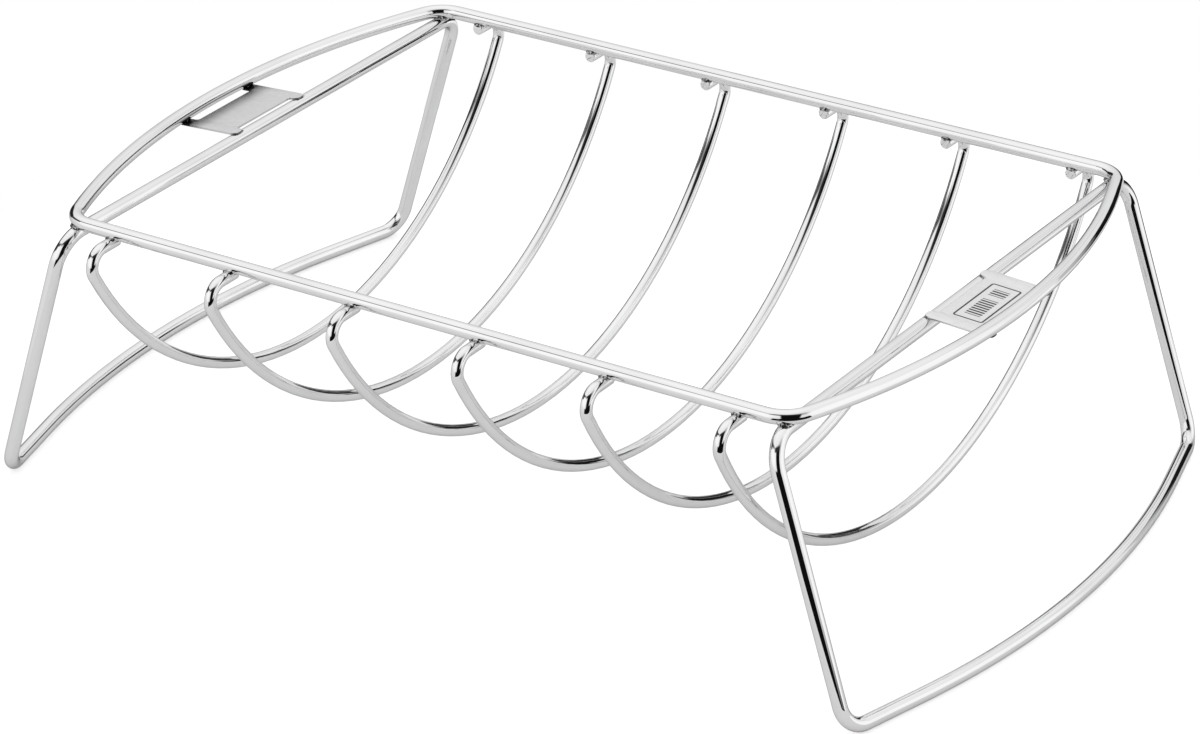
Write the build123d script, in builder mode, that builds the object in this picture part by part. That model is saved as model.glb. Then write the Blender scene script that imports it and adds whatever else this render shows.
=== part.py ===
from build123d import *
import os
from math import atan2, cos, degrees, hypot, sin, sqrt

# Roasting rack of welded round wire, in millimetres.
# The origin is on the surface that the rack stands on, under its middle.
# X runs along the rack, Y across it and Z up.

# Wire and sheet
frame_wire = 6.0           # diameter of the wire of the rim and the end frames
rib_wire = 5.0             # diameter of the wire of the ribs
plate_sheet = 1.0          # thickness of the two end plates
weld_set_down = 1.0        # how far two crossing wires sink into each other at a weld
plate_set_down = 0.2       # how far a plate's ears sink into the wires

# Rim: two straight rails, joined by ends that bow outward
rack_height = 124.7        # from the ground to the top of the rim
rim_width = 265.0          # between the centre lines of the rails
rail_length = 339.0        # from corner to corner, before the corners are bent
rim_bow = 27.2             # how far the middle of an end stands out past its corners
rim_bend = 14.0            # bend radius of the corners, to the centre line

# End frames: a straight bar under the rim, two legs and a bowed foot
bar_inset = 1.8            # from the rim's corner back to the bar's centre line
bar_length = 283.0         # from corner to corner, before the bends
leg_splay = 35.5           # how far a leg leans outward along the rack
leg_spread = 1.7           # how far a leg leans outward across the rack
leg_bend = 13.0            # bend radius where the bar turns down
foot_bend = 11.0           # bend radius where a leg turns into the foot
foot_bow = 23.9            # how far the middle of a foot stands out past its corners
foot_straight = 40.0       # straight part of a foot at each corner, before the bend

# Ribs: wires bent to a cradle and hung from the rails
rib_count = 6
rib_inset = 21.0           # from the rim's corner back to the first rib
rib_radius = 166.8         # radius of the cradle's curve, to the centre line
rib_drop = 100.5           # from the rim's centre line to the bottom of the cradle
rib_shoulder = 7.0         # bend radius where a rib turns in under its rail
rib_stub = 2.5             # how far a rib's cut end reaches in past the rail's centre line

# End plates: sheet between the bar and the bowed end, with four welded ears
plate_width = 50.0         # across the rack, over the ears
plate_overhang = 1.2       # how far an ear reaches past the centre line of its wire
bar_notch = 4.0            # depth of the notch beside the bar
bow_notch = 6.3            # depth of the notch beside the bowed end
ear_width = 6.0
ear_corner = 2.4           # rounding of an ear's corners
notch_corner = 1.5         # rounding at the bottom of a notch
sheet_edge = 0.25          # rounding of the sheet's edges

# The two ends of the rack: the sign of X, and the name
SIDES = {-1: "left", 1: "right"}

# Heights of the wires' centre lines
rim_height = rack_height - frame_wire / 2
bar_height = rim_height - (frame_wire - weld_set_down)
stub_height = rim_height - ((frame_wire + rib_wire) / 2 - weld_set_down)
foot_height = frame_wire / 2

# Places worked out from the sizes
rail_y = rim_width / 2
rim_corner_x = rail_length / 2
rim_middle_x = rim_corner_x + rim_bow
bar_x = rim_corner_x - bar_inset
bar_corner_y = bar_length / 2
foot_corner_x = bar_x + leg_splay
foot_corner_y = bar_corner_y + leg_spread
foot_middle_x = foot_corner_x + foot_bow
rib_pitch = (rail_length - 2 * rib_inset) / (rib_count - 1)


def bow_radius(half_width, bow, straight=0.0):
    """Radius of a bow that stands out by bow between corners with straight ends."""
    return (half_width**2 + bow**2 - straight**2) / (2 * bow)


rim_bow_radius = bow_radius(rail_y, rim_bow)
foot_bow_radius = bow_radius(foot_corner_y, foot_bow, foot_straight)

# The point where a foot's straight end runs into its bow
foot_bow_centre_x = foot_middle_x - foot_bow_radius
foot_corner_angle = atan2(foot_corner_y, foot_corner_x - foot_bow_centre_x)
foot_bow_angle = foot_corner_angle - atan2(foot_straight, foot_bow_radius)
foot_bow_start_x = foot_bow_centre_x + foot_bow_radius * cos(foot_bow_angle)
foot_bow_start_y = foot_bow_radius * sin(foot_bow_angle)

# The shoulder bend touches the cradle's curve from inside and ends level, under the rail
cradle_centre_z = rim_height - rib_drop + rib_radius
shoulder_centre_z = stub_height - rib_shoulder
shoulder_below = cradle_centre_z - shoulder_centre_z
shoulder_y = sqrt((rib_radius - rib_shoulder) ** 2 - shoulder_below**2)
cradle_angle = degrees(atan2(shoulder_y, shoulder_below))

# A plate lies on the bar and under the bowed end, so it tips down a little towards the bow
ear_y = (plate_width - ear_width) / 2
bow_x_at_ear = rim_middle_x - rim_bow_radius + sqrt(rim_bow_radius**2 - ear_y**2)
plate_z_at_bar = bar_height + frame_wire / 2 - plate_set_down + plate_sheet / 2
plate_z_at_bow = rim_height - frame_wire / 2 + plate_set_down - plate_sheet / 2
plate_run = bow_x_at_ear - bar_x
plate_fall = plate_z_at_bar - plate_z_at_bow
plate_length = hypot(plate_run, plate_fall) + 2 * plate_overhang

os.makedirs("parts", exist_ok=True)

# Rim: a quarter of the loop is swept from the middle of a rail, then mirrored twice
with BuildPart() as rim:
    with BuildLine() as quarter_rim:
        Line((0, rail_y, rim_height), (rim_corner_x, rail_y, rim_height))
        TangentArc((rim_middle_x, 0, rim_height), (rim_corner_x, rail_y, rim_height), tangent=(0, 1, 0))
        fillet(quarter_rim.vertices().group_by(Axis.Y)[-1].sort_by(Axis.X)[-1], rim_bend)
    with BuildSketch(Plane(origin=(0, rail_y, rim_height), z_dir=(1, 0, 0))):
        Circle(frame_wire / 2)
    sweep()
    mirror(about=Plane.YZ)
    mirror(about=Plane.XZ)
rim.part.label = "rim"
export_step(rim.part, "parts/rim.step")


def bend_points(side):
    """Corner points of half an end frame's wire, from its bar to the start of its foot's bow."""
    return [
        (side * bar_x, 0, bar_height),
        (side * bar_x, bar_corner_y, bar_height),
        (side * foot_corner_x, foot_corner_y, foot_height),
        (side * foot_bow_start_x, foot_bow_start_y, foot_height),
    ]


# End frames: half of the loop is swept from the middle of the bar, then mirrored.
# The bar runs under the rim's corners, which sink into it at the welds.
end_frames = {}
for side, name in SIDES.items():
    with BuildPart() as end_frame:
        with BuildLine() as half_frame:
            bends = FilletPolyline(*bend_points(side), radius=(leg_bend, foot_bend))
            TangentArc(bends @ 1, (side * foot_middle_x, 0, foot_height), tangent=bends % 1)
        with BuildSketch(Plane(origin=half_frame.line @ 0, z_dir=half_frame.line % 0)):
            Circle(frame_wire / 2)
        sweep()
        mirror(about=Plane.XZ)
        add(rim.part, mode=Mode.SUBTRACT)
    end_frame.part.label = f"end_frame_{name}"
    export_step(end_frame.part, f"parts/end_frame_{name}.step")
    end_frames[side] = end_frame.part

# Ribs: half of the wire is swept from the bottom of the cradle, then mirrored
for number in range(1, rib_count + 1):
    rib_x = (number - (rib_count + 1) / 2) * rib_pitch
    with BuildPart() as rib:
        with BuildLine(Plane.YZ.offset(rib_x)) as half_rib:
            cradle = JernArc((0, rim_height - rib_drop), (1, 0), rib_radius, cradle_angle)
            shoulder = JernArc(cradle @ 1, cradle % 1, rib_shoulder, 180 - cradle_angle)
            Line(shoulder @ 1, (rail_y - rib_stub, stub_height))
        with BuildSketch(Plane.XZ):
            with Locations((rib_x, rim_height - rib_drop)):
                Circle(rib_wire / 2)
        sweep()
        mirror(about=Plane.XZ)
        add(rim.part, mode=Mode.SUBTRACT)
    rib.part.label = f"rib_{number}"
    export_step(rib.part, f"parts/rib_{number}.step")

# End plates: flat sheet with four ears, notched between them on both long sides
for side, name in SIDES.items():
    plate_plane = Plane(
        origin=(side * (bar_x + bow_x_at_ear) / 2, 0, (plate_z_at_bar + plate_z_at_bow) / 2),
        x_dir=(side * plate_run, 0, -plate_fall),
        z_dir=(side * plate_fall, 0, plate_run),
    )
    with BuildPart() as plate:
        with BuildSketch(plate_plane) as outline:
            Rectangle(plate_length, plate_width)
            for end, depth in ((-1, bar_notch), (1, bow_notch)):
                with Locations((end * (plate_length - depth) / 2, 0)):
                    Rectangle(depth, plate_width - 2 * ear_width, mode=Mode.SUBTRACT)
            columns = outline.vertices().group_by(Axis.X)
            fillet(columns[0] + columns[-1], ear_corner)
            fillet(columns[1] + columns[-2], notch_corner)
        extrude(amount=plate_sheet / 2, both=True)
        fillet(plate.faces().sort_by(SortBy.AREA)[-2:].edges(), sheet_edge)
        add(rim.part, mode=Mode.SUBTRACT)
        add(end_frames[side], mode=Mode.SUBTRACT)
    plate.part.label = f"plate_{name}"
    export_step(plate.part, f"parts/plate_{name}.step")
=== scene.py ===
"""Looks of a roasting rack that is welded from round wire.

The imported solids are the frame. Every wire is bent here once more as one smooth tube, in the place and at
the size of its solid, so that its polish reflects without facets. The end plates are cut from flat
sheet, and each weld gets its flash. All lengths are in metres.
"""

import logging
import math
from dataclasses import dataclass, field
from enum import Enum
from functools import partialmethod

import bpy
from mathutils import Matrix, Vector


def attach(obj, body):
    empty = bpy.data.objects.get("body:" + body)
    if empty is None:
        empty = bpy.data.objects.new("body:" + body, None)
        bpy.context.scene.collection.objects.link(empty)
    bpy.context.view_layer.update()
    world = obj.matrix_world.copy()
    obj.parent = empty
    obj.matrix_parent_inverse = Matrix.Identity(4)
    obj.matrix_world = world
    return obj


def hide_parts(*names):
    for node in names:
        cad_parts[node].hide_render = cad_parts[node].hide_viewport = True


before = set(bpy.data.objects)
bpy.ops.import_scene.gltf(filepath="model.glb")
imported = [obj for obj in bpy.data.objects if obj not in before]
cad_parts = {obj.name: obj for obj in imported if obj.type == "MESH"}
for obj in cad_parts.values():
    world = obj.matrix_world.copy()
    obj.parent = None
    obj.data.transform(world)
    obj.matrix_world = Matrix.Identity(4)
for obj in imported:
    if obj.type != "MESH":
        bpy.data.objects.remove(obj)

MM = 0.001
TOUCH = 0.01 * MM  # points nearer than this are one point
SMOOTH_ANGLE = math.radians(35)  # faces that turn by less than this are shaded as one
WIRE_LINE = "wire_line"  # attribute of a wire's points: the way along it, and the place across it

Piece = bpy.types.Object
Material = bpy.types.Material
Socket = bpy.types.NodeSocket
Colour = tuple[float, float, float, float]
Span = tuple[float, float]  # where a fade is 0, and where it is 1

log = logging.getLogger("roasting_rack")


# Shader recipes


class Value:
    """A number in a shader that Python arithmetic can be written on.

    Args:
        recipe: The recipe that the number belongs to.
        socket: The output socket that carries it.
    """

    def __init__(self, recipe: "Recipe", socket: Socket) -> None:
        """Keeps the recipe and the socket."""
        self.recipe = recipe
        self.socket = socket

    def maths(self, operation: str, *others: "Value | float") -> "Value":
        """Adds a Math node, which takes this number first."""
        return self.recipe.maths(operation, self, *others)

    def __rsub__(self, other: float) -> "Value":
        """Subtracts this number from another."""
        return self.recipe.maths("SUBTRACT", other, self)

    __add__ = __radd__ = partialmethod(maths, "ADD")
    __sub__ = partialmethod(maths, "SUBTRACT")
    __mul__ = __rmul__ = partialmethod(maths, "MULTIPLY")
    __truediv__ = partialmethod(maths, "DIVIDE")
    __pow__ = partialmethod(maths, "POWER")
    __abs__ = partialmethod(maths, "ABSOLUTE")


class Recipe:
    """The node tree of one finish, cleared and written anew.

    Args:
        tree: The node tree of a material or a world.
    """

    def __init__(self, tree: bpy.types.NodeTree) -> None:
        """Clears the tree."""
        tree.nodes.clear()
        self.tree = tree

    def plug(self, socket: Socket, value: object) -> None:
        """Links or sets one socket.

        Args:
            socket: The input socket.
            value: A Value, an output socket, or a constant.
        """
        if isinstance(value, Value):
            self.tree.links.new(value.socket, socket)
        elif isinstance(value, Socket):
            self.tree.links.new(value, socket)
        else:
            socket.default_value = value

    def node(self, kind: str, inputs: dict | None = None, **settings: object) -> bpy.types.Node:
        """Adds any node.

        Args:
            kind: The node's type.
            inputs: What goes into its sockets, by name or number.
            settings: Its own settings, which are set before its sockets.

        Returns:
            The node.
        """
        node = self.tree.nodes.new(kind)
        for name, value in settings.items():
            setattr(node, name, value)
        for name, value in (inputs or {}).items():
            self.plug(node.inputs[name], value)
        return node

    def place(self) -> Socket:
        """Finds the place on the piece, in metres."""
        return self.node("ShaderNodeTexCoord").outputs["Object"]

    def maths(self, operation: str, *values: Value | float) -> Value:
        """Adds a Math node.

        Args:
            operation: The node's operation.
            values: The numbers that go in.

        Returns:
            The result.
        """
        node = self.node("ShaderNodeMath", dict(enumerate(values)), operation=operation)
        return Value(self, node.outputs[0])

    def vector(self, operation: str, *values: object) -> bpy.types.Node:
        """Adds a Vector Math node and what goes into it."""
        return self.node("ShaderNodeVectorMath", dict(enumerate(values)), operation=operation)

    def dot(self, vector: Socket, direction: Vector) -> Value:
        """Measures a vector along a direction, as their dot product."""
        return Value(self, self.vector("DOT_PRODUCT", vector, direction).outputs["Value"])

    def fade(self, value: Value, start: float, end: float) -> Value:
        """Turns a number into a soft mask.

        Args:
            value: The number.
            start: Where the mask is 0.
            end: Where the mask is 1.

        Returns:
            The mask.
        """
        inputs = {"Value": value, "From Min": start, "From Max": end}
        node = self.node("ShaderNodeMapRange", inputs, interpolation_type="SMOOTHSTEP")
        return Value(self, node.outputs["Result"])

    def blend(self, mask: Value, low: object, high: object) -> Socket:
        """Mixes two colours.

        Args:
            mask: How much of the second colour there is.
            low: The colour where the mask is 0.
            high: The colour where the mask is 1.

        Returns:
            The mixed colour.
        """
        mix = self.node("ShaderNodeMix", {"Factor": mask}, data_type="RGBA")
        self.plug(next(s for s in mix.inputs if s.name == "A" and s.type == "RGBA"), low)
        self.plug(next(s for s in mix.inputs if s.name == "B" and s.type == "RGBA"), high)
        return next(s for s in mix.outputs if s.type == "RGBA")

    def noise(self, place: Socket, stretch: Vector, detail: float = 2.0) -> Value:
        """Adds noise with its own grain in each direction.

        Args:
            place: The place's socket, in metres.
            stretch: How many grains a metre holds along each axis.
            detail: The noise's detail.

        Returns:
            The noise, around 0.5.
        """
        spread = self.vector("MULTIPLY", place, stretch).outputs["Vector"]
        inputs = {"Vector": spread, "Scale": 1.0, "Detail": detail}
        return Value(self, self.node("ShaderNodeTexNoise", inputs).outputs[0])


def grains(run: float, across: float) -> Vector:
    """Works out how many grains a metre holds, from a grain's length along X and its size across."""
    return Vector((1 / run, 1 / across, 1 / across))


def grey(level: float) -> Colour:
    """Makes a plain grey of one brightness."""
    return (level, level, level, 1.0)


def new_material(name: str) -> tuple[Material, Recipe]:
    """Makes an empty material.

    Args:
        name: The material's name.

    Returns:
        The material and the recipe to write in it.
    """
    material = bpy.data.materials.new(name)
    material.use_nodes = True
    return material, Recipe(material.node_tree)


def finish_metal(
    recipe: Recipe, tone: Socket, roughness: Value, height: Value, edge_tone: float = 1.0
) -> None:
    """Ends a recipe with one surface of bare metal.

    Args:
        recipe: The recipe.
        tone: The metal's colour.
        roughness: Its roughness.
        height: Its relief, in metres.
        edge_tone: The grey that it takes where it is seen edge on.
    """
    bump = recipe.node("ShaderNodeBump", {"Height": height, "Strength": 1.0, "Distance": 1.0})
    surface = {
        "Base Color": tone,
        "Metallic": 1.0,
        "Specular Tint": grey(edge_tone),
        "Roughness": roughness,
        "Normal": bump.outputs["Normal"],
    }
    shader = recipe.node("ShaderNodeBsdfPrincipled", surface)
    recipe.node("ShaderNodeOutputMaterial", {"Surface": shader.outputs["BSDF"]})


# Finishes


@dataclass(frozen=True)
class PolishedWire:
    """Drawn wire with a mirror polish, which keeps faint lines from the drawing die."""

    name: str = "polished_wire"
    tone: Colour = (0.885, 0.885, 0.89, 1.0)
    worn_tone: Colour = (0.83, 0.83, 0.84, 1.0)
    edge_tone: float = 0.62
    roughness: float = 0.025
    haze: float = 0.05
    wear: float = 6.25 * MM
    wear_run: float = 31.25 * MM
    wear_span: Span = (0.35, 0.75)
    die_line: float = 0.25 * MM
    die_line_run: float = 60.0 * MM
    die_line_depth: float = 0.0006 * MM
    peel: float = 2.5 * MM
    peel_run: float = 6.25 * MM
    peel_depth: float = 0.0015 * MM

    def make(self) -> Material:
        """Makes the material.

        Returns:
            The material.
        """
        material, recipe = new_material(self.name)
        place = recipe.node("ShaderNodeAttribute", attribute_name=WIRE_LINE).outputs["Vector"]
        lines = recipe.noise(place, grains(self.die_line_run, self.die_line))
        peel = recipe.noise(place, grains(self.peel_run, self.peel))
        cloud = recipe.noise(place, grains(self.wear_run, self.wear), detail=3.0)
        wear = recipe.fade(cloud, *self.wear_span)
        tone = recipe.blend(wear, self.tone, self.worn_tone)
        roughness = self.roughness + self.haze * wear * lines
        height = lines * self.die_line_depth + peel * self.peel_depth
        finish_metal(recipe, tone, roughness, height, self.edge_tone)
        return material


@dataclass(frozen=True)
class WeldFlash:
    """Metal pressed out of a weld and polished with the rest, with a crinkled skin and painted shade in its
    hollows.
    """

    name: str = "weld_flash"
    tone: Colour = (0.58, 0.575, 0.57, 1.0)
    # Painted shade: the near-black that the hollows of the crinkled skin take
    crevice_shade_tone: Colour = (0.03, 0.029, 0.028, 1.0)
    crevice_shade_span: Span = (0.55, 0.42)
    roughness: float = 0.08
    crevice_haze: float = 0.3
    crinkle: float = 1.1 * MM
    crinkle_depth: float = 0.4 * MM

    def make(self) -> Material:
        """Makes the material.

        Returns:
            The material.
        """
        material, recipe = new_material(self.name)
        crinkle = recipe.noise(recipe.place(), grains(self.crinkle, self.crinkle), detail=4.0)
        # Painted shade: the hollows of the crinkled skin turn nearly black
        crevice_shade = recipe.fade(crinkle, *self.crevice_shade_span)
        tone = recipe.blend(crevice_shade, self.tone, self.crevice_shade_tone)
        roughness = self.roughness + self.crevice_haze * crevice_shade
        finish_metal(recipe, tone, roughness, crinkle * self.crinkle_depth)
        return material


@dataclass(frozen=True)
class SatinSheet:
    """Steel sheet with a fine grain brushed along the rack, plain or with an etched panel.

    Shade is painted on the sheet: it darkens towards the bow wire that lies over it, it is black on the
    ears under the bow, and the cut edges of the ears' tips over the bar are dark.

    Args:
        name: The material's name.
        tone: The sheet's colour.
        streak_tone: The colour of the grain's darker streaks.
        bow_shade_strength: How strong the painted shade beside the bow is.
        panel_centre: Where the etched panel lies, or None for a plain sheet.
    """

    name: str
    tone: Colour = (0.87, 0.87, 0.875, 1.0)
    streak_tone: Colour = (0.77, 0.77, 0.775, 1.0)
    bow_shade_strength: float = 0.0
    panel_centre: Vector | None = None
    # Painted shade: the colour that the sheet darkens to beside the bow wire
    bow_shade_tone: Colour = (0.17, 0.17, 0.175, 1.0)
    # Painted shade: the near-black on the ears under the bow and on the cut edges of the ear tips
    painted_shade_tone: Colour = (0.01, 0.01, 0.01, 1.0)
    etched_tone: Colour = (0.07, 0.07, 0.075, 1.0)
    roughness: float = 0.30
    streak_haze: float = 0.12
    etched_haze: float = 0.25
    grain: float = 0.22 * MM
    grain_run: float = 9.0 * MM
    grain_depth: float = 0.004 * MM
    streak_span: Span = (0.3, 0.7)
    # Spans over the distance from the rack's middle, where painted shade lies beside the bow,
    # under the bow and at the ears' tips over the bar
    bow_shade_span: Span = (181.5 * MM, 192.5 * MM)
    under_bow_shade_span: Span = (190.3 * MM, 191.3 * MM)
    tip_span: Span = (169.8 * MM, 167.8 * MM)
    # Span over how level the surface lies, which finds the cut edges that take painted shade
    cut_edge_span: Span = (0.9, 0.5)
    cut_edge_shade: float = 0.7
    panel_length: float = 33.0 * MM
    panel_width: float = 13.4 * MM
    panel_corner: float = 0.9 * MM
    line: float = 0.75 * MM
    bar_pitch: float = 1.9 * MM
    bar_width: float = 1.0 * MM
    bar_length: float = 7.0 * MM
    bar_run: float = 24.7 * MM
    bar_gap: float = 3.8 * MM
    gap_place: float = 4.75 * MM

    def panel(self, recipe: Recipe, place: Socket) -> Value:
        """Draws the etched panel: an outline round two groups of plain bars.

        Args:
            recipe: The recipe to write in.
            place: The place's socket.

        Returns:
            The mask of what is etched.
        """
        near = recipe.vector("SUBTRACT", place, self.panel_centre).outputs["Vector"]
        across = abs(recipe.dot(near, Vector((1, 0, 0))))
        along = recipe.dot(near, Vector((0, 1, 0)))
        corner = self.panel_corner
        past_side = (across - (self.panel_width / 2 - self.line / 2 - corner)).maths("MAXIMUM", 0.0)
        past_end = (abs(along) - (self.panel_length / 2 - self.line / 2 - corner)).maths("MAXIMUM", 0.0)
        edge = (past_side * past_side + past_end * past_end) ** 0.5
        blur = self.line / 4
        outline = recipe.fade(abs(edge - corner), self.line / 2 + blur, self.line / 2 - blur)
        phase = abs((along / self.bar_pitch).maths("FRACT") - 0.5) * self.bar_pitch
        bars = recipe.fade(phase, self.bar_width / 2 + blur, self.bar_width / 2 - blur)
        inside = recipe.fade(across, self.bar_length / 2 + blur, self.bar_length / 2 - blur)
        row = recipe.fade(abs(along), self.bar_run / 2 + blur, self.bar_run / 2 - blur)
        gap = recipe.fade(abs(along - self.gap_place), self.bar_gap / 2 - blur, self.bar_gap / 2 + blur)
        return outline.maths("MAXIMUM", bars * inside * row * gap)

    def make(self) -> Material:
        """Makes the material.

        Returns:
            The material.
        """
        material, recipe = new_material(self.name)
        place = recipe.place()
        streaks = recipe.noise(place, grains(self.grain_run, self.grain), detail=3.0)
        streaked = recipe.fade(streaks, *self.streak_span)
        tone = recipe.blend(streaked, self.tone, self.streak_tone)
        out = abs(recipe.dot(place, Vector((1, 0, 0))))
        # Painted shade: the sheet darkens towards the bow wire that lies over it
        bow_shaded = recipe.fade(out, *self.bow_shade_span) * self.bow_shade_strength
        tone = recipe.blend(bow_shaded, tone, self.bow_shade_tone)
        # Painted shade: black on the ears under the bow, and dark cut edges at the ears' tips over the bar
        normal = recipe.node("ShaderNodeNewGeometry").outputs["Normal"]
        level = abs(recipe.dot(normal, Vector((0, 0, 1))))
        cut_edge = recipe.fade(level, *self.cut_edge_span) * self.cut_edge_shade
        tip = recipe.fade(out, *self.tip_span)
        painted_shade = recipe.fade(out, *self.under_bow_shade_span).maths("MAXIMUM", cut_edge * tip)
        tone = recipe.blend(painted_shade, tone, self.painted_shade_tone)
        roughness = self.roughness + self.streak_haze * streaks
        if self.panel_centre is not None:
            etched = self.panel(recipe, place)
            tone = recipe.blend(etched, tone, self.etched_tone)
            roughness = roughness + self.etched_haze * etched
        finish_metal(recipe, tone, roughness, streaks * self.grain_depth)
        return material


# Sizes that the sub-assemblies share


@dataclass(frozen=True)
class RackSizes:
    """Sizes that more than one piece of the rack is made to, the same as those of its solids."""

    frame_wire: float = 6.0 * MM
    rib_wire: float = 5.0 * MM
    weld_set_down: float = 1.0 * MM
    rack_height: float = 124.7 * MM
    rim_width: float = 265.0 * MM
    rail_length: float = 339.0 * MM
    rim_bow: float = 27.2 * MM
    rim_bend: float = 14.0 * MM
    bar_inset: float = 1.8 * MM

    @property
    def rim_height(self) -> float:
        """Height of the rim's centre line."""
        return self.rack_height - self.frame_wire / 2

    @property
    def bar_height(self) -> float:
        """Height of an end frame's bar, to its centre line."""
        return self.rim_height - (self.frame_wire - self.weld_set_down)

    @property
    def rail_y(self) -> float:
        """Half the distance between the rails."""
        return self.rim_width / 2

    @property
    def rim_corner_x(self) -> float:
        """Half the distance between the rim's corners along the rack."""
        return self.rail_length / 2

    @property
    def rim_middle_x(self) -> float:
        """How far the middle of a bowed end lies from the rack's middle."""
        return self.rim_corner_x + self.rim_bow

    @property
    def bar_x(self) -> float:
        """How far an end frame's bar lies from the rack's middle."""
        return self.rim_corner_x - self.bar_inset

    @property
    def rim_bow_radius(self) -> float:
        """Radius of a bowed end of the rim."""
        return bow_radius(self.rail_y, self.rim_bow)

    @property
    def rim_bow_centre(self) -> Vector:
        """Centre of the right bowed end's curve."""
        return Vector((self.rim_middle_x - self.rim_bow_radius, 0.0, self.rim_height))

    @property
    def rim_bend_centre(self) -> Vector:
        """Centre of the bend at the rim's right back corner."""
        inner_y = self.rail_y - self.rim_bend
        inner_x = math.sqrt((self.rim_bow_radius - self.rim_bend) ** 2 - inner_y**2)
        return Vector((self.rim_bow_centre.x + inner_x, inner_y, self.rim_height))

    def bow_x(self, y: float) -> float:
        """How far the right bowed end lies from the rack's middle, at a place across the rack."""
        return self.rim_bow_centre.x + math.sqrt(self.rim_bow_radius**2 - y**2)


def bow_radius(half_width: float, bow: float, straight: float = 0.0) -> float:
    """Radius of a bow that stands out by bow between corners with straight ends."""
    return (half_width**2 + bow**2 - straight**2) / (2 * bow)


# Tools of the workshop


class Side(Enum):
    """The two ends of the rack, as the sign of X."""

    LEFT = -1
    RIGHT = 1


def deselect_all() -> None:
    """Leaves nothing selected, so that an operator acts on the new piece alone."""
    if bpy.context.object and bpy.context.object.mode != "OBJECT":
        bpy.ops.object.mode_set(mode="OBJECT")
    bpy.ops.object.select_all(action="DESELECT")


def pick(piece: Piece) -> None:
    """Makes one piece the selected and active one."""
    deselect_all()
    piece.select_set(True)
    bpy.context.view_layer.objects.active = piece


def apply_modifier(piece: Piece, kind: str, **settings: object) -> None:
    """Adds one modifier to a piece and applies it.

    Args:
        piece: The piece.
        kind: The modifier's type.
        settings: Its settings.
    """
    pick(piece)
    modifier = piece.modifiers.new(kind.lower(), kind)
    for name, value in settings.items():
        setattr(modifier, name, value)
    bpy.ops.object.modifier_apply(modifier=modifier.name)


def apply_place() -> None:
    """Writes the active piece's place, turn and scale into its mesh."""
    bpy.ops.object.transform_apply(location=True, rotation=True, scale=True)


def copy_piece(piece: Piece, name: str, moved: Matrix) -> Piece:
    """Copies a piece to another place, with its own mesh.

    Args:
        piece: The piece to copy.
        name: The copy's name.
        moved: How the copy is moved.

    Returns:
        The copy.
    """
    pick(piece)
    bpy.ops.object.duplicate()
    twin = bpy.context.active_object
    twin.name = name
    twin.matrix_world = moved @ twin.matrix_world
    apply_place()
    return twin


def turned_about(piece: Piece, name: str) -> Piece:
    """Copies a piece to the rack's other end, under a new name."""
    return copy_piece(piece, name, Matrix.Rotation(math.pi, 4, "Z"))


def join_pieces(pieces: list[Piece], name: str) -> Piece:
    """Makes one piece of several.

    Args:
        pieces: The pieces.
        name: The name of the joined piece.

    Returns:
        The joined piece.
    """
    pick(pieces[0])
    for piece in pieces[1:]:
        piece.select_set(True)
    bpy.ops.object.join()
    pieces[0].name = name
    return pieces[0]


def hand_over(piece: Piece, material: Material, slot: str, *nodes: str) -> None:
    """Dresses a finished piece and mounts it on the rack.

    Args:
        piece: The piece.
        material: Its finish.
        slot: The record's material slot that the finish belongs to; not used.
        nodes: The solids that the piece stands for.
    """
    piece.data.materials.clear()
    piece.data.materials.append(material)
    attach(piece, "root")
    if nodes:
        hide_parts(*nodes)
    log.info("%s: %d faces", piece.name, len(piece.data.polygons))


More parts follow.
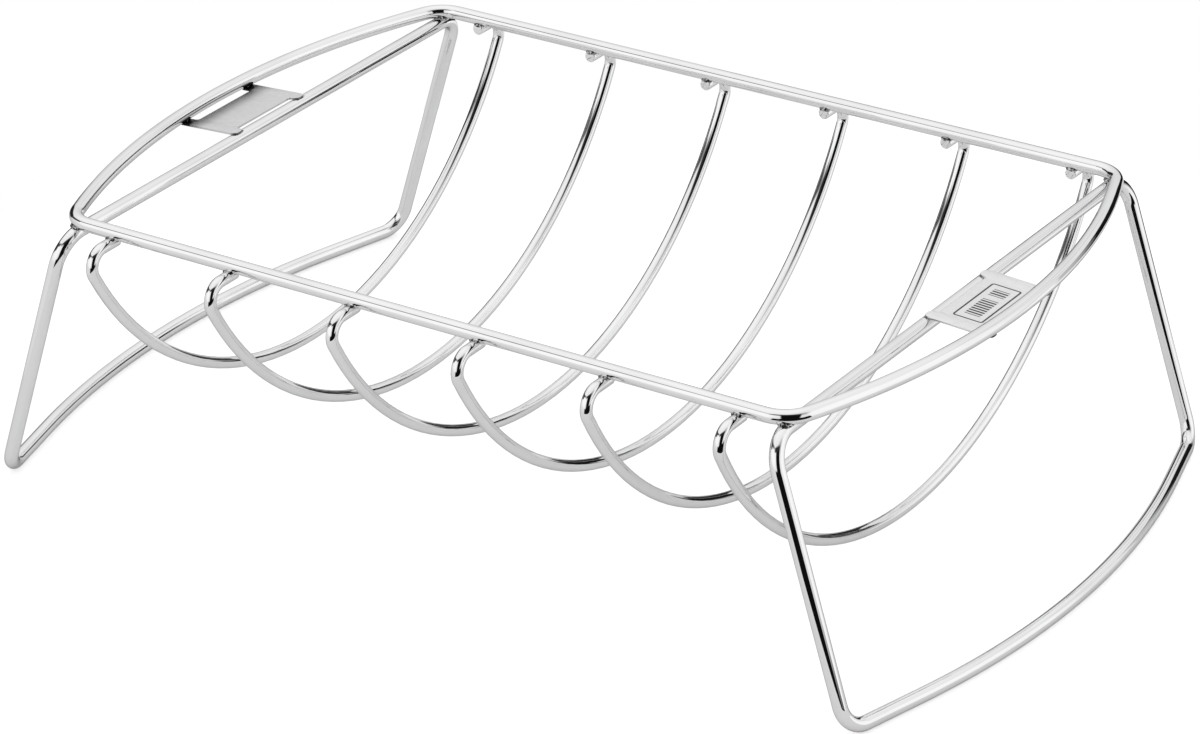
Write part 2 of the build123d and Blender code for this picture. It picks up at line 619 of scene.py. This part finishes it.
@dataclass
class WireBender:
    """Forms a round wire in the air, as a wire-forming machine does: it feeds straight, or turns.

    Args:
        name: The name of the piece.
        radius: Radius of the wire.
        point: Where the wire's centre line starts.
        heading: The way that it leaves there.
        sides: How many faces go round the wire.
        turn_step: The most that one step of a bend turns.
        chord: The most that one step of a bend moves.
    """

    name: str
    radius: float
    point: Vector
    heading: Vector
    sides: int = 56
    turn_step: float = math.radians(4.0)
    chord: float = 8.0 * MM
    track: list[tuple[Vector, float]] = field(default_factory=list)

    def __post_init__(self) -> None:
        """Starts with the ring of the wire's section."""
        deselect_all()
        rotation = self.heading.to_track_quat("Z", "Y").to_euler()
        bpy.ops.mesh.primitive_circle_add(
            vertices=self.sides, radius=self.radius, location=self.point, rotation=rotation
        )
        self.wire = bpy.context.active_object
        self.wire.name = self.name
        apply_place()
        self.mark_round(rotation.to_matrix())
        self.track.append((self.point.copy(), 0.0))
        bpy.ops.object.mode_set(mode="EDIT")
        bpy.ops.mesh.select_mode(type="VERT")
        bpy.ops.mesh.select_all(action="SELECT")

    def mark_round(self, turned: Matrix) -> None:
        """Writes each point's place across the wire, which feeding and turning carry along.

        Args:
            turned: How the section's ring is turned.
        """
        line = self.wire.data.attributes.new(WIRE_LINE, "FLOAT_VECTOR", "POINT")
        for vertex, entry in zip(self.wire.data.vertices, line.data):
            flat = turned.inverted() @ (vertex.co - self.point)
            entry.vector = (0.0, flat.x, flat.y)

    def go_to(self, point: Vector, length: float) -> None:
        """Notes where the centre line has come to, and the length of wire since the last note."""
        self.point = point
        self.track.append((point.copy(), self.track[-1][1] + length))

    def feed(self, length: float) -> None:
        """Feeds a straight stretch of a given length."""
        move = self.heading * length
        bpy.ops.mesh.extrude_region_move(TRANSFORM_OT_translate={"value": move})
        self.go_to(self.point + move, length)

    def turn(self, heading: Vector, radius: float) -> None:
        """Bends the wire until it heads another way.

        Args:
            heading: The new heading.
            radius: The bend radius, to the centre line.
        """
        axis = self.heading.cross(heading).normalized()
        angle = self.heading.angle(heading)
        centre = self.point + axis.cross(self.heading) * radius
        steps = math.ceil(max(angle / self.turn_step, angle * radius / self.chord))
        bpy.ops.mesh.spin(steps=steps, angle=-angle, center=centre, axis=axis)
        arm = self.point - centre
        for step in range(1, steps + 1):
            turned = Matrix.Rotation(angle * step / steps, 3, axis)
            self.go_to(centre + turned @ arm, angle * radius / steps)
        self.heading = heading.normalized()

    def cut(self, edge: float) -> None:
        """Ends the wire where it is with a flat cut, and breaks the cut's edge."""
        bpy.ops.mesh.edge_face_add()
        bpy.ops.mesh.bevel(offset=edge, segments=3, affect="EDGES")

    def finish(self, across_x: bool, across_y: bool) -> Piece:
        """Completes the wire from its half or quarter and smooths it.

        Args:
            across_x: Whether it is mirrored to the rack's other end.
            across_y: Whether it is mirrored to the rack's other side.

        Returns:
            The finished wire.
        """
        bpy.ops.object.mode_set(mode="OBJECT")
        self.mark_along()
        axes = (across_x, across_y, False)
        apply_modifier(self.wire, "MIRROR", use_axis=axes, merge_threshold=TOUCH)
        bpy.ops.object.mode_set(mode="EDIT")
        bpy.ops.mesh.select_all(action="SELECT")
        bpy.ops.mesh.remove_doubles(threshold=TOUCH)
        bpy.ops.mesh.normals_make_consistent(inside=False)
        bpy.ops.object.mode_set(mode="OBJECT")
        bpy.ops.object.shade_smooth_by_angle(angle=SMOOTH_ANGLE)
        return self.wire

    def mark_along(self) -> None:
        """Writes the way along the wire, by the nearest place on its centre line."""
        line = self.wire.data.attributes[WIRE_LINE]
        for vertex, entry in zip(self.wire.data.vertices, line.data):
            entry.vector = (self.run_at(vertex.co), entry.vector[1], entry.vector[2])

    def run_at(self, place: Vector) -> float:
        """Measures how much wire leads up to a place.

        Args:
            place: The place, on the wire or near it.

        Returns:
            The length of wire.
        """
        found = []
        for (start, run), (end, next_run) in zip(self.track, self.track[1:]):
            span = end - start
            share = min(1.0, max(0.0, (place - start).dot(span) / span.length_squared))
            found.append(((start + span * share - place).length, run + (next_run - run) * share))
        return min(found)[1]


# Sub-assemblies


@dataclass
class Rim:
    """The closed loop of wire on top: two straight rails, joined by bowed ends."""

    sizes: RackSizes

    def build(self) -> Piece:
        """Bends a quarter of the loop and completes it.

        Returns:
            The rim.
        """
        sizes = self.sizes
        centre = sizes.rim_bend_centre
        start = Vector((0.0, sizes.rail_y, sizes.rim_height))
        wire = WireBender("rim_wire", sizes.frame_wire / 2, start, Vector((1, 0, 0)))
        wire.feed(centre.x)
        out_of_bend = (centre - sizes.rim_bow_centre).normalized()
        wire.turn(Vector((out_of_bend.y, -out_of_bend.x, 0)), sizes.rim_bend)
        wire.turn(Vector((0, -1, 0)), sizes.rim_bow_radius)
        return wire.finish(across_x=True, across_y=True)

    def dress(self, rim: Piece, polish: Material) -> None:
        """Gives the rim its polish."""
        hand_over(rim, polish, "polished_wire", "rim")


@dataclass
class EndFrame:
    """A closed loop of wire at each end: a bar under the rim, two legs and a bowed foot."""

    sizes: RackSizes
    bar_length: float = 283.0 * MM
    leg_splay: float = 35.5 * MM
    leg_spread: float = 1.7 * MM
    leg_bend: float = 13.0 * MM
    foot_bend: float = 11.0 * MM
    foot_bow: float = 23.9 * MM
    foot_straight: float = 40.0 * MM

    def foot_run(self) -> tuple[Vector, Vector, float]:
        """Works out the foot, from its corner to its bow.

        Returns:
            The foot's corner, the start of its bow, and the bow's radius.
        """
        sizes = self.sizes
        corner = Vector(
            (sizes.bar_x + self.leg_splay, self.bar_length / 2 + self.leg_spread, sizes.frame_wire / 2)
        )
        radius = bow_radius(corner.y, self.foot_bow, self.foot_straight)
        centre_x = corner.x + self.foot_bow - radius
        corner_angle = math.atan2(corner.y, corner.x - centre_x)
        angle = corner_angle - math.atan2(self.foot_straight, radius)
        start = Vector((centre_x + radius * math.cos(angle), radius * math.sin(angle), corner.z))
        return corner, start, radius

    def build(self) -> Piece:
        """Bends half of the right end frame and completes it.

        Returns:
            The right end frame.
        """
        sizes = self.sizes
        top = Vector((sizes.bar_x, self.bar_length / 2, sizes.bar_height))
        corner, bow_start, bow = self.foot_run()
        down = (corner - top).normalized()
        along_foot = (bow_start - corner).normalized()
        bar = Vector((0, 1, 0))
        top_trim = self.leg_bend * math.tan(bar.angle(down) / 2)
        foot_trim = self.foot_bend * math.tan(down.angle(along_foot) / 2)
        start = Vector((sizes.bar_x, 0.0, sizes.bar_height))
        wire = WireBender("end_wire_right", sizes.frame_wire / 2, start, bar)
        wire.feed(top.y - top_trim)
        wire.turn(down, self.leg_bend)
        wire.feed((corner - top).length - top_trim - foot_trim)
        wire.turn(along_foot, self.foot_bend)
        wire.feed((bow_start - corner).length - foot_trim)
        wire.turn(Vector((0, -1, 0)), bow)
        return wire.finish(across_x=False, across_y=True)

    def dress(self, right: Piece, polish: Material) -> None:
        """Copies the end frame to the other end and gives both their polish.

        Args:
            right: The right end frame.
            polish: The finish.
        """
        left = turned_about(right, "end_wire_left")
        hand_over(right, polish, "polished_wire", "end_frame_right")
        hand_over(left, polish, "polished_wire", "end_frame_left")


@dataclass
class Ribs:
    """The six wires that hang between the rails as a cradle."""

    sizes: RackSizes
    count: int = 6
    inset: float = 21.0 * MM
    radius: float = 166.8 * MM
    drop: float = 100.5 * MM
    shoulder: float = 7.0 * MM
    stub: float = 2.5 * MM
    cut_edge: float = 0.35 * MM

    @property
    def stub_height(self) -> float:
        """Height of a rib's cut ends, to their centre line."""
        sizes = self.sizes
        return sizes.rim_height - ((sizes.frame_wire + sizes.rib_wire) / 2 - sizes.weld_set_down)

    @property
    def places(self) -> list[float]:
        """Places of the ribs along the rack."""
        first = self.inset - self.sizes.rim_corner_x
        return [first - 2 * first * number / (self.count - 1) for number in range(self.count)]

    def build(self) -> Piece:
        """Bends half of a rib, in the middle of the rack, and completes it.

        Returns:
            The rib.
        """
        sizes = self.sizes
        bottom = sizes.rim_height - self.drop
        below = bottom + self.radius - (self.stub_height - self.shoulder)
        shoulder_y = math.sqrt((self.radius - self.shoulder) ** 2 - below**2)
        angle = math.atan2(shoulder_y, below)
        start = Vector((0.0, 0.0, bottom))
        wire = WireBender("rib_wire", sizes.rib_wire / 2, start, Vector((0, 1, 0)), sides=48)
        wire.turn(Vector((0, math.cos(angle), math.sin(angle))), self.radius)
        wire.turn(Vector((0, -1, 0)), self.shoulder)
        wire.feed(shoulder_y - (sizes.rail_y - self.stub))
        wire.cut(self.cut_edge)
        return wire.finish(across_x=False, across_y=True)

    def dress(self, rib: Piece, polish: Material) -> None:
        """Copies the rib to its six places and gives all their polish.

        Args:
            rib: The rib in the middle, which is used up.
            polish: The finish.
        """
        for number, place in enumerate(self.places, 1):
            twin = copy_piece(rib, f"rib_wire_{number}", Matrix.Translation((place, 0, 0)))
            # Each rib shows another stretch of the drawn wire
            for entry in twin.data.attributes[WIRE_LINE].data:
                entry.vector = entry.vector + Vector((number, 0, 0))
            hand_over(twin, polish, "polished_wire", f"rib_{number}")
        bpy.data.objects.remove(rib)


@dataclass
class EndPlate:
    """The small sheet at each end, which lies on the bar and under the bow with its four ears."""

    sizes: RackSizes
    sheet: float = 1.0 * MM
    set_down: float = 0.2 * MM
    width: float = 50.0 * MM
    overhang: float = 1.2 * MM
    bar_notch: float = 4.0 * MM
    bow_notch: float = 6.3 * MM
    ear_width: float = 6.0 * MM
    ear_corner: float = 2.4 * MM
    notch_corner: float = 1.5 * MM
    corner_steps: int = 8
    edge: float = 0.25 * MM
    edge_steps: int = 3
    edge_angle: float = math.radians(50)
    panel_shift: float = 0.8 * MM

    @property
    def ear_y(self) -> float:
        """How far the middle of an ear lies from the plate's middle."""
        return (self.width - self.ear_width) / 2

    @property
    def ear_at_bar(self) -> Vector:
        """Where the sheet's middle lies over the bar's centre line."""
        sizes = self.sizes
        top = sizes.bar_height + sizes.frame_wire / 2
        return Vector((sizes.bar_x, 0.0, top - self.set_down + self.sheet / 2))

    @property
    def ear_at_bow(self) -> Vector:
        """Where the sheet's middle lies under the bow's centre line, at an ear."""
        sizes = self.sizes
        under = sizes.rim_height - sizes.frame_wire / 2
        return Vector((sizes.bow_x(self.ear_y), 0.0, under + self.set_down - self.sheet / 2))

    @property
    def middle(self) -> Vector:
        """The right plate's middle."""
        return (self.ear_at_bar + self.ear_at_bow) / 2

    @property
    def panel_centre(self) -> Vector:
        """The middle of the right plate's panel, which lies a little nearer the front."""
        return self.middle - Vector((0, self.panel_shift, 0))

    def build(self) -> Piece:
        """Cuts the right plate from flat sheet, rounds it, and lays it in place.

        Returns:
            The right plate.
        """
        run = self.ear_at_bow - self.ear_at_bar
        half = run.length / 2 + self.overhang
        bar_side, bow_side = self.bar_notch - half, half - self.bow_notch
        deselect_all()
        bpy.ops.mesh.primitive_plane_add(size=1.0, location=((bar_side + bow_side) / 2, 0.0, 0.0))
        plate = bpy.context.active_object
        plate.name = "end_plate_right"
        plate.scale = (bow_side - bar_side, self.width, 1.0)
        apply_place()
        bpy.ops.object.mode_set(mode="EDIT")
        for side in (-1, 1):
            bpy.ops.mesh.select_all(action="SELECT")
            cut = (0.0, side * (self.width / 2 - self.ear_width), 0.0)
            bpy.ops.mesh.bisect(plane_co=cut, plane_no=(0, 1, 0))
        bpy.ops.mesh.select_mode(type="EDGE")
        for start, depth in ((bar_side, -self.bar_notch), (bow_side, self.bow_notch)):
            self.select_ear_ends(plate, start)
            bpy.ops.mesh.extrude_region_move(TRANSFORM_OT_translate={"value": (depth, 0, 0)})
        bpy.ops.mesh.select_all(action="SELECT")
        bpy.ops.mesh.dissolve_limited(angle_limit=math.radians(1.0))
        for columns, radius in (((-half, half), self.ear_corner), ((bar_side, bow_side), self.notch_corner)):
            self.select_columns(plate, columns)
            bpy.ops.mesh.bevel(offset=radius, segments=self.corner_steps, affect="VERTICES")
        bpy.ops.object.mode_set(mode="OBJECT")
        apply_modifier(plate, "SOLIDIFY", thickness=self.sheet, offset=0.0)
        settings = {"segments": self.edge_steps, "angle_limit": self.edge_angle}
        apply_modifier(plate, "BEVEL", width=self.edge, **settings)
        plate.location = self.middle
        plate.rotation_euler = (0.0, math.atan2(-run.z, run.x), 0.0)
        pick(plate)
        apply_place()
        bpy.ops.object.shade_smooth_by_angle(angle=SMOOTH_ANGLE)
        return plate

    def select_ear_ends(self, plate: Piece, x: float) -> None:
        """Selects the two short edges at one side, where the ears are to grow.

        Args:
            plate: The plate, in edit mode.
            x: Where that side is.
        """
        bpy.ops.mesh.select_all(action="DESELECT")
        bpy.ops.object.mode_set(mode="OBJECT")
        points = plate.data.vertices
        for edge in plate.data.edges:
            first, second = (points[index].co for index in edge.vertices)
            at_side = abs(first.x - x) < TOUCH and abs(second.x - x) < TOUCH
            edge.select = at_side and abs(first.y + second.y) / 2 > self.width / 2 - self.ear_width
        bpy.ops.object.mode_set(mode="EDIT")

    def select_columns(self, plate: Piece, columns: tuple[float, float]) -> None:
        """Selects the sheet's corners that lie at either of two places along it.

        Args:
            plate: The plate, in edit mode.
            columns: The two places.
        """
        bpy.ops.mesh.select_mode(type="VERT")
        bpy.ops.mesh.select_all(action="DESELECT")
        bpy.ops.object.mode_set(mode="OBJECT")
        for vertex in plate.data.vertices:
            vertex.select = min(abs(vertex.co.x - column) for column in columns) < TOUCH
        bpy.ops.object.mode_set(mode="EDIT")

    def dress(self, right: Piece, plain: Material, etched: Material) -> None:
        """Copies the plate to the other end and gives both their grain.

        Args:
            right: The right plate.
            plain: The finish of the left plate.
            etched: The finish of the right plate.
        """
        left = turned_about(right, "end_plate_left")
        hand_over(right, etched, "satin_sheet", "plate_right")
        hand_over(left, plain, "satin_sheet", "plate_left")


@dataclass
class Welds:
    """The flash that each weld has pressed out where two pieces cross."""

    sizes: RackSizes
    ribs: Ribs
    plate: EndPlate
    rib_bead: Vector = Vector((2.9, 3.3, 1.25)) * MM
    corner_bead: Vector = Vector((3.3, 3.7, 1.3)) * MM
    bar_ear_bead: Vector = Vector((1.3, 4.2, 0.35)) * MM
    bow_ear_bead: Vector = Vector((1.5, 2.6, 0.4)) * MM
    lump: float = 1.3 * MM
    lump_depth: float = 0.7 * MM
    ear_lump_depth: float = 0.15 * MM

    def bead(self, place: Vector, size: Vector, depth: float) -> Piece:
        """Makes the flash of one weld.

        Args:
            place: The middle of the weld.
            size: Half the flash's size each way.
            depth: How far its lumps stand out.

        Returns:
            The bead.
        """
        deselect_all()
        bpy.ops.mesh.primitive_ico_sphere_add(subdivisions=4, radius=1.0, location=place)
        bead = bpy.context.active_object
        bead.scale = size
        apply_place()
        lumps = bpy.data.textures.get("weld_lumps") or bpy.data.textures.new("weld_lumps", "CLOUDS")
        lumps.noise_scale = self.lump
        lumps.noise_depth = 2
        apply_modifier(bead, "DISPLACE", texture=lumps, texture_coords="LOCAL", strength=depth)
        bpy.ops.object.shade_smooth()
        return bead

    def build(self) -> list[Piece]:
        """Makes the flash of every weld, one piece for each kind and side.

        Returns:
            The pieces.
        """
        sizes = self.sizes
        under_rim = sizes.rim_height - sizes.frame_wire / 2 + sizes.weld_set_down / 2
        pieces = []
        for name, y in (("rib_welds_front", -sizes.rail_y), ("rib_welds_back", sizes.rail_y)):
            places = [Vector((x, y, under_rim)) for x in self.ribs.places]
            beads = [self.bead(place, self.rib_bead, self.lump_depth) for place in places]
            pieces.append(join_pieces(beads, name))
        centre = sizes.rim_bend_centre
        crossing_y = centre.y + math.sqrt(sizes.rim_bend**2 - (sizes.bar_x - centre.x) ** 2)
        plate = self.plate
        ears = (
            (plate.ear_at_bar, -plate.sheet / 2, self.bar_ear_bead),
            (plate.ear_at_bow, plate.sheet / 2, self.bow_ear_bead),
        )
        for end in Side:
            x = end.value * sizes.bar_x
            places = [Vector((x, y, under_rim)) for y in (-crossing_y, crossing_y)]
            beads = [self.bead(place, self.corner_bead, self.lump_depth) for place in places]
            pieces.append(join_pieces(beads, f"corner_welds_{end.name.lower()}"))
            beads = [
                self.bead(Vector((end.value * ear.x, y, ear.z + lift)), size, self.ear_lump_depth)
                for y in (-plate.ear_y, plate.ear_y)
                for ear, lift, size in ears
            ]
            pieces.append(join_pieces(beads, f"ear_welds_{end.name.lower()}"))
        return pieces

    def dress(self, pieces: list[Piece], finish: Material) -> None:
        """Gives the welds their look."""
        for piece in pieces:
            hand_over(piece, finish, "polished_wire")


# Studio


@dataclass(frozen=True)
class SoftCard:
    """A lit or dark card in the studio, far off, as the polished wire reflects it.

    Args:
        azimuth: Its middle's direction round the rack: 0 is in front, 90 at the right end, in degrees.
        elevation: Its middle's height above the horizon, in degrees.
        width: Its width, in degrees.
        height: Its height, in degrees.
        level: Its brightness.
        softness: The width of its faded edge, in degrees.
        lean: How far it is turned anticlockwise, in degrees.
        in_front: The least cosine to its middle's direction at which it is seen.
    """

    azimuth: float
    elevation: float
    width: float
    height: float
    level: float
    softness: float = 4.0
    lean: float = 0.0
    in_front: float = 0.02

    def mask(self, recipe: Recipe, direction: Socket) -> Value:
        """Works out where the card is seen.

        Args:
            recipe: The recipe to write in.
            direction: The direction's socket.

        Returns:
            The mask.
        """
        turned = Matrix.Rotation(math.radians(self.azimuth), 3, "Z")
        raised = Matrix.Rotation(math.radians(self.elevation), 3, "X")
        middle = turned @ raised.inverted() @ Vector((0, -1, 0))
        right = turned @ Vector((1, 0, 0))
        up = middle.cross(right).normalized()
        lean = math.radians(self.lean)
        across = right * math.cos(lean) + up * math.sin(lean)
        upward = up * math.cos(lean) - right * math.sin(lean)
        facing = recipe.dot(direction, middle)
        near = facing.maths("MAXIMUM", self.in_front)
        soft = math.tan(math.radians(self.softness)) / 2
        sides = []
        for axis, size in ((across, self.width), (upward, self.height)):
            half = math.tan(math.radians(size) / 2)
            away = abs(recipe.dot(direction, axis) / near)
            sides.append((away - (half - soft)).maths("MAXIMUM", 0.0))
        outside = (sides[0] * sides[0] + sides[1] * sides[1]) ** 0.5
        return recipe.fade(outside, 2 * soft, 0.0) * facing.maths("GREATER_THAN", self.in_front)


@dataclass(frozen=True)
class DarkBoard:
    """A dark board that stands near the rack and is seen in its polish alone.

    Args:
        name: Its name.
        place: Its middle.
        width: Its width along the rack.
        height: Its height.
        lean: How far it is turned in its own plane, in degrees.
        soft: The width of its faded edge.
        left_level: Its brightness at its left end.
        right_level: Its brightness towards its right end.
    """

    name: str
    place: Vector
    width: float
    height: float
    lean: float = 0.0
    soft: float = 14.0 * MM
    left_level: float = 0.05
    right_level: float = 0.01

    def build(self) -> None:
        """Makes the board and its surface."""
        deselect_all()
        turned = (math.pi / 2, math.radians(-self.lean), 0.0)
        bpy.ops.mesh.primitive_plane_add(size=1.0, location=self.place, rotation=turned)
        board = bpy.context.active_object
        board.name = self.name
        board.scale = (self.width, self.height, 1.0)
        apply_place()
        board.visible_camera = board.visible_diffuse = board.visible_shadow = False
        material, recipe = new_material("board_cloth")
        near = recipe.vector("SUBTRACT", recipe.place(), self.place).outputs["Vector"]
        lean = math.radians(self.lean)
        across = recipe.dot(near, Vector((math.cos(lean), 0, math.sin(lean))))
        upward = recipe.dot(near, Vector((-math.sin(lean), 0, math.cos(lean))))
        sides = recipe.fade(abs(across), self.width / 2, self.width / 2 - self.soft)
        ends = recipe.fade(abs(upward), self.height / 2, self.height / 2 - self.soft)
        rightward = recipe.fade(across, -self.width / 2, self.width / 4)
        level = rightward * (self.right_level - self.left_level) + self.left_level
        clear = recipe.node("ShaderNodeBsdfTransparent")
        cloth = recipe.node("ShaderNodeEmission", {"Color": level, "Strength": 1.0})
        both = {0: sides * ends, 1: clear.outputs["BSDF"], 2: cloth.outputs["Emission"]}
        surface = recipe.node("ShaderNodeMixShader", both)
        recipe.node("ShaderNodeOutputMaterial", {"Surface": surface.outputs["Shader"]})
        board.data.materials.append(material)


@dataclass
class Studio:
    """A pale table in a soft white studio, whose cards and boards give the polished wire its stripes.

    Later cards lie over earlier ones. The levels of the sky, the horizon and below apply where none lies.

    Args:
        table_tone: The table's grey, which its mottle changes by mottle_tone both ways.
        camera_lift: The light that the table gives off towards the camera, which makes it nearly white.
        polish_lift: The light that it gives off towards the polished wire.
        around: The light all round on everything but the polish.
    """

    table_radius: float = 380.0 * MM
    table_tone: float = 0.78
    mottle_tone: float = 0.01
    mottle: float = 71.4 * MM
    camera_lift: float = 0.50
    polish_lift: float = 0.07
    around: float = 0.85
    sky: float = 0.93
    sky_span: Span = (0.0, 0.6)
    horizon: float = 0.89
    below: float = 0.80
    below_span: Span = (0.02, -0.06)
    cards: tuple[SoftCard, ...] = (
        # Bright cards at the front, high on the left, on the right and low at the back
        SoftCard(-30, 22, 64, 42, 1.08, softness=30, lean=-16),
        SoftCard(-125, 68, 60, 50, 1.03, softness=35, lean=-20),
        SoftCard(118, 10, 44, 56, 1.06, softness=16),
        SoftCard(176, -16, 60, 22, 1.12, softness=6),
        # Grey strips at the back
        SoftCard(160, 36, 60, 1.5, 0.60, softness=2, lean=-8),
        SoftCard(154, 27, 16, 2.5, 0.55, softness=2.5, lean=-40),
        # Dark and grey openings in front and on the right, above and below the rack
        SoftCard(76, 44, 40, 26, 0.40, softness=24, lean=-12),
        SoftCard(46.5, 20, 49, 64, 0.005, softness=7, lean=-6),
        SoftCard(12, 49, 40, 11, 0.03, softness=7, lean=4),
        SoftCard(-24, 46, 32, 5, 0.30, softness=4, lean=7),
        SoftCard(40, 53, 60, 12, 0.03, softness=9, lean=-8),
        SoftCard(49, -24, 96, 40, 0.005, softness=5, lean=2),
        SoftCard(45, -7, 54, 14, 0.005, softness=5),
        # Dark openings on the left
        SoftCard(-53, 37, 26, 8, 0.14, softness=4, lean=26),
        SoftCard(-86, 15, 50, 16, 0.05, softness=5, lean=35),
        SoftCard(-113, 6, 34, 30, 0.02, softness=5),
    )
    boards: tuple[DarkBoard, ...] = (
        DarkBoard("dark_board_long", Vector((30, 600, 116)) * MM, 640 * MM, 190 * MM, lean=4.0),
        DarkBoard("dark_board_tall", Vector((270, 602, 95)) * MM, 180 * MM, 330 * MM, left_level=0.02),
        DarkBoard(
            name="dark_board_end",
            place=Vector((423, 604, 100)) * MM,
            width=194 * MM,
            height=300 * MM,
            left_level=0.06,
            right_level=0.60,
        ),
    )

    def build_table(self) -> None:
        """Makes the table top that the rack stands on, and its surface."""
        deselect_all()
        bpy.ops.mesh.primitive_circle_add(vertices=128, radius=self.table_radius, fill_type="NGON")
        table = bpy.context.active_object
        table.name = "table_top"
        material, recipe = new_material("pale_table")
        rays = recipe.node("ShaderNodeLightPath")
        mottle = recipe.noise(recipe.place(), grains(self.mottle, self.mottle), detail=3.0)
        low, high = grey(self.table_tone - self.mottle_tone), grey(self.table_tone + self.mottle_tone)
        paper = recipe.node("ShaderNodeBsdfDiffuse", {"Color": recipe.blend(mottle, low, high)})
        seen = Value(recipe, rays.outputs["Is Camera Ray"]) * self.camera_lift
        seen = seen + Value(recipe, rays.outputs["Is Glossy Ray"]) * self.polish_lift
        glow = recipe.node("ShaderNodeEmission", {"Color": seen, "Strength": 1.0})
        both = {0: paper.outputs["BSDF"], 1: glow.outputs["Emission"]}
        surface = recipe.node("ShaderNodeAddShader", both)
        recipe.node("ShaderNodeOutputMaterial", {"Surface": surface.outputs["Shader"]})
        table.data.materials.append(material)

    def build_light(self) -> None:
        """Makes the soft light all round, with its cards, and the white background behind the rack."""
        world = bpy.data.worlds.new("studio")
        bpy.context.scene.world = world
        world.use_nodes = True
        recipe = Recipe(world.node_tree)
        direction = recipe.node("ShaderNodeTexCoord").outputs["Generated"]
        height = recipe.dot(direction, Vector((0, 0, 1)))
        upper = recipe.fade(height, *self.sky_span)
        lower = recipe.fade(height, *self.below_span)
        level = upper * (self.sky - self.horizon) + self.horizon
        level = level + lower * (self.below - self.horizon)
        for card in self.cards:
            mask = card.mask(recipe, direction)
            level = level + mask * (card.level - level)
        rays = recipe.node("ShaderNodeLightPath")
        camera = Value(recipe, rays.outputs["Is Camera Ray"])
        plain_level = camera * (1.0 - self.around) + self.around
        plain = recipe.node("ShaderNodeBackground", {"Color": plain_level, "Strength": 1.0})
        studio = recipe.node("ShaderNodeBackground", {"Color": level, "Strength": 1.0})
        through = Value(recipe, rays.outputs["Is Transmission Ray"])
        polish = Value(recipe, rays.outputs["Is Glossy Ray"]).maths("MAXIMUM", through)
        both = {0: polish, 1: plain.outputs["Background"], 2: studio.outputs["Background"]}
        light = recipe.node("ShaderNodeMixShader", both)
        recipe.node("ShaderNodeOutputWorld", {"Surface": light.outputs["Shader"]})
        world.cycles.sampling_method = "NONE"


@dataclass(frozen=True)
class Viewpoint:
    """Where the rack is looked at from, with a long lens."""

    azimuth: float = 33.21
    elevation: float = 26.37
    roll: float = -0.60
    distance: float = 2.088
    aim: Vector = Vector((3.7, -6.2, 47.4)) * MM
    lens: float = 151.08
    sensor: float = 36.0
    nearest: float = 0.05

    def build(self) -> None:
        """Sets up the camera."""
        azimuth, elevation = math.radians(self.azimuth), math.radians(self.elevation)
        turned = Matrix.Rotation(azimuth, 4, "Z") @ Matrix.Rotation(math.pi / 2 - elevation, 4, "X")
        back = Matrix.Translation((0, 0, self.distance))
        rolled = Matrix.Rotation(math.radians(self.roll), 4, "Z")
        lens = bpy.data.cameras.new("view")
        lens.lens = self.lens
        lens.sensor_width = self.sensor
        lens.clip_start = self.nearest
        camera = bpy.data.objects.new("view", lens)
        bpy.context.scene.collection.objects.link(camera)
        camera.matrix_world = Matrix.Translation(self.aim) @ turned @ back @ rolled
        bpy.context.scene.camera = camera


def main() -> None:
    """Builds the rack, piece by piece, and the studio around it."""
    logging.basicConfig(level=logging.INFO, format="%(name)s: %(message)s")
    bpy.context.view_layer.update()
    bpy.context.scene.view_settings.view_transform = "Standard"
    sizes = RackSizes()
    polish = PolishedWire().make()
    rim = Rim(sizes)
    rim.dress(rim.build(), polish)
    end_frame = EndFrame(sizes)
    end_frame.dress(end_frame.build(), polish)
    ribs = Ribs(sizes)
    ribs.dress(ribs.build(), polish)
    plate = EndPlate(sizes)
    # The left plate takes the full painted shade beside the bow wire
    plain = SatinSheet(
        "satin_sheet", tone=(0.72, 0.72, 0.73, 1.0), streak_tone=(0.63, 0.63, 0.64, 1.0), bow_shade_strength=1.0
    )
    etched = SatinSheet("etched_sheet", panel_centre=plate.panel_centre)
    plate.dress(plate.build(), plain.make(), etched.make())
    welds = Welds(sizes, ribs, plate)
    welds.dress(welds.build(), WeldFlash().make())
    studio = Studio()
    studio.build_table()
    studio.build_light()
    for board in studio.boards:
        board.build()
    Viewpoint().build()


if __name__ == "__main__":
    main()
